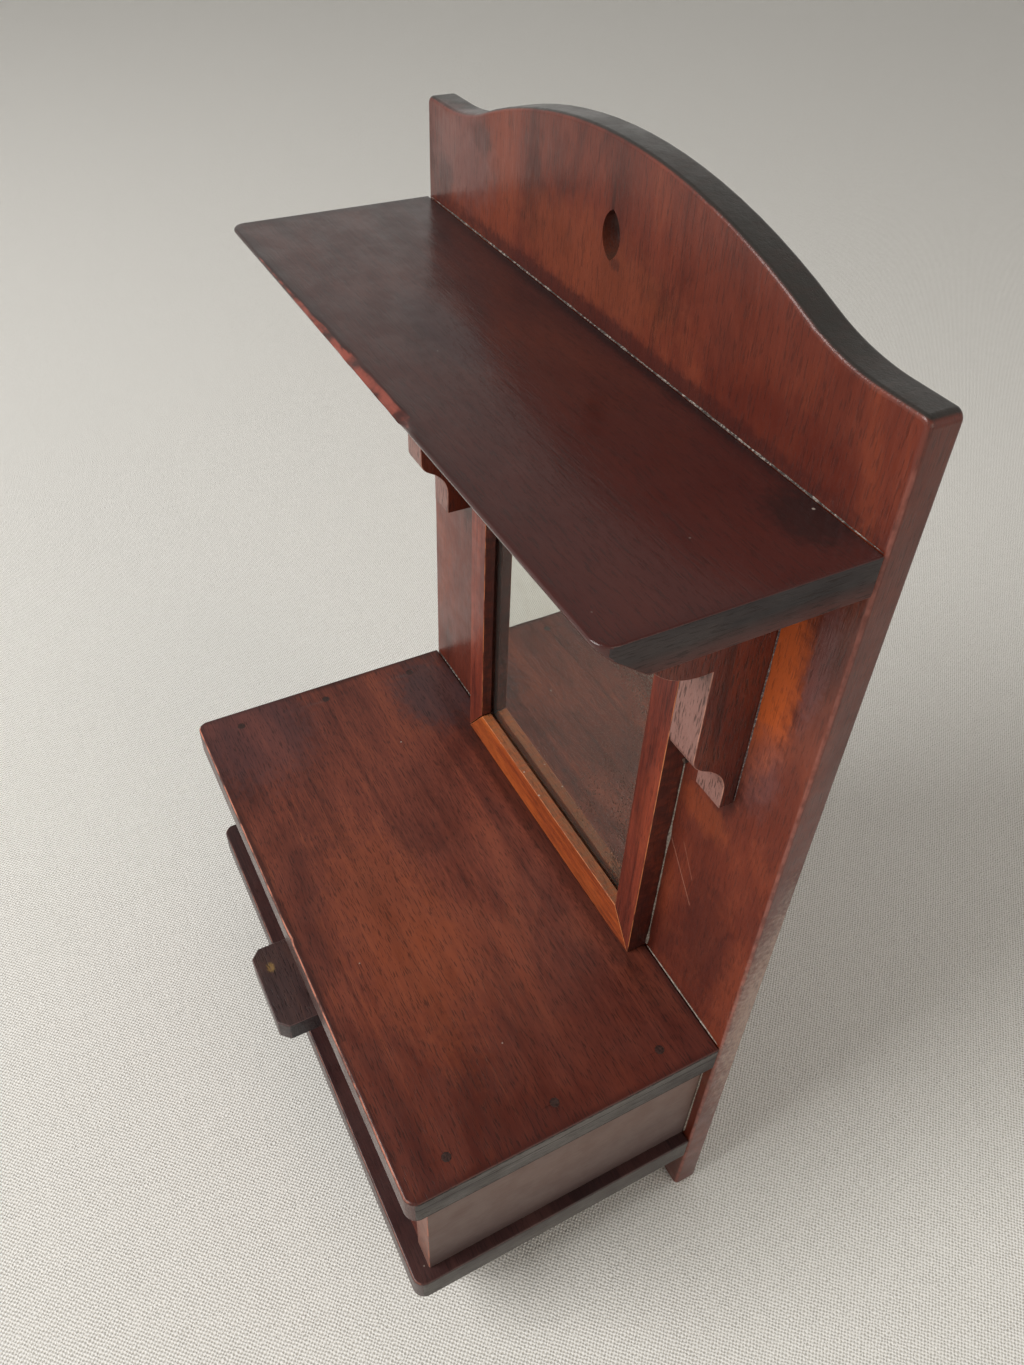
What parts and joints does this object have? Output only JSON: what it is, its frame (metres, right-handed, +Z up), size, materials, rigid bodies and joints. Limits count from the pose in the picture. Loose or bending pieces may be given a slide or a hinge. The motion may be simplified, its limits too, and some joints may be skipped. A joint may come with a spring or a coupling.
{
  "type": "miniature mirrored shelf with drawer",
  "caption": "Small mahogany wall shelf that also stands: shaped back board, bracketed upper shelf, framed mirror, and a low case with a sliding drawer.",
  "frame": {"origin": "on the ground, under the middle of the object's bounding box with the drawer shut", "axes": "+Z up, +Y towards the wall behind the back board, +X to the right as seen from the front"},
  "size_m": [0.226, 0.136, 0.3668],
  "materials": {
    "mahogany": "worn glossy french polish over mahogany",
    "dark_mahogany": "darkened glossy french polish",
    "frame_wood": "satin polished, warmer and lighter than the boards",
    "drawer_wood": "plain unpolished softwood",
    "backing_wood": "rough thin board",
    "mirror": "old silvered glass with light foxing",
    "iron": "dark oxidised iron"
  },
  "bodies": {
    "shelf": {"back_board": "mahogany", "left_bracket": "mahogany", "right_bracket": "mahogany", "lower_shelf": "mahogany", "case_left_side": "mahogany", "case_right_side": "mahogany", "base_board": "mahogany", "upper_shelf": "dark_mahogany", "left_front_foot": "dark_mahogany", "right_front_foot": "dark_mahogany", "frame_bottom_rail": "frame_wood", "frame_right_stile": "frame_wood", "frame_top_rail": "frame_wood", "frame_left_stile": "frame_wood", "mirror_glass": "mirror", "mirror_backing": "backing_wood", "lower_shelf_left_nail_1": "iron", "lower_shelf_left_nail_2": "iron", "lower_shelf_left_nail_3": "iron", "lower_shelf_right_nail_1": "iron", "lower_shelf_right_nail_2": "iron", "lower_shelf_right_nail_3": "iron", "base_board_left_nail_1": "iron", "base_board_left_nail_2": "iron", "base_board_left_nail_3": "iron", "base_board_right_nail_1": "iron", "base_board_right_nail_2": "iron", "base_board_right_nail_3": "iron", "upper_shelf_back_nail_1": "iron", "upper_shelf_back_nail_2": "iron", "upper_shelf_back_nail_3": "iron", "lower_shelf_back_nail_1": "iron", "lower_shelf_back_nail_2": "iron", "base_board_back_nail_1": "iron", "base_board_back_nail_2": "iron", "left_bracket_nail_1": "iron", "left_bracket_nail_2": "iron", "right_bracket_nail_1": "iron", "right_bracket_nail_2": "iron", "left_foot_nail": "iron", "right_foot_nail": "iron"},
    "drawer": {"drawer_front": "mahogany", "drawer_pull": "dark_mahogany", "drawer_left_side": "drawer_wood", "drawer_right_side": "drawer_wood", "drawer_back": "drawer_wood", "drawer_bottom": "drawer_wood", "drawer_left_front_pin_1": "iron", "drawer_left_front_pin_2": "iron", "drawer_left_back_pin_1": "iron", "drawer_left_back_pin_2": "iron", "drawer_right_front_pin_1": "iron", "drawer_right_front_pin_2": "iron", "drawer_right_back_pin_1": "iron", "drawer_right_back_pin_2": "iron", "pull_screw": "iron"}
  },
  "joints": [
    {"name": "drawer_slide", "type": "slide", "parent": "shelf", "child": "drawer", "axis": [0, -1, 0], "range_m": [0, 0.085]}
  ]
}
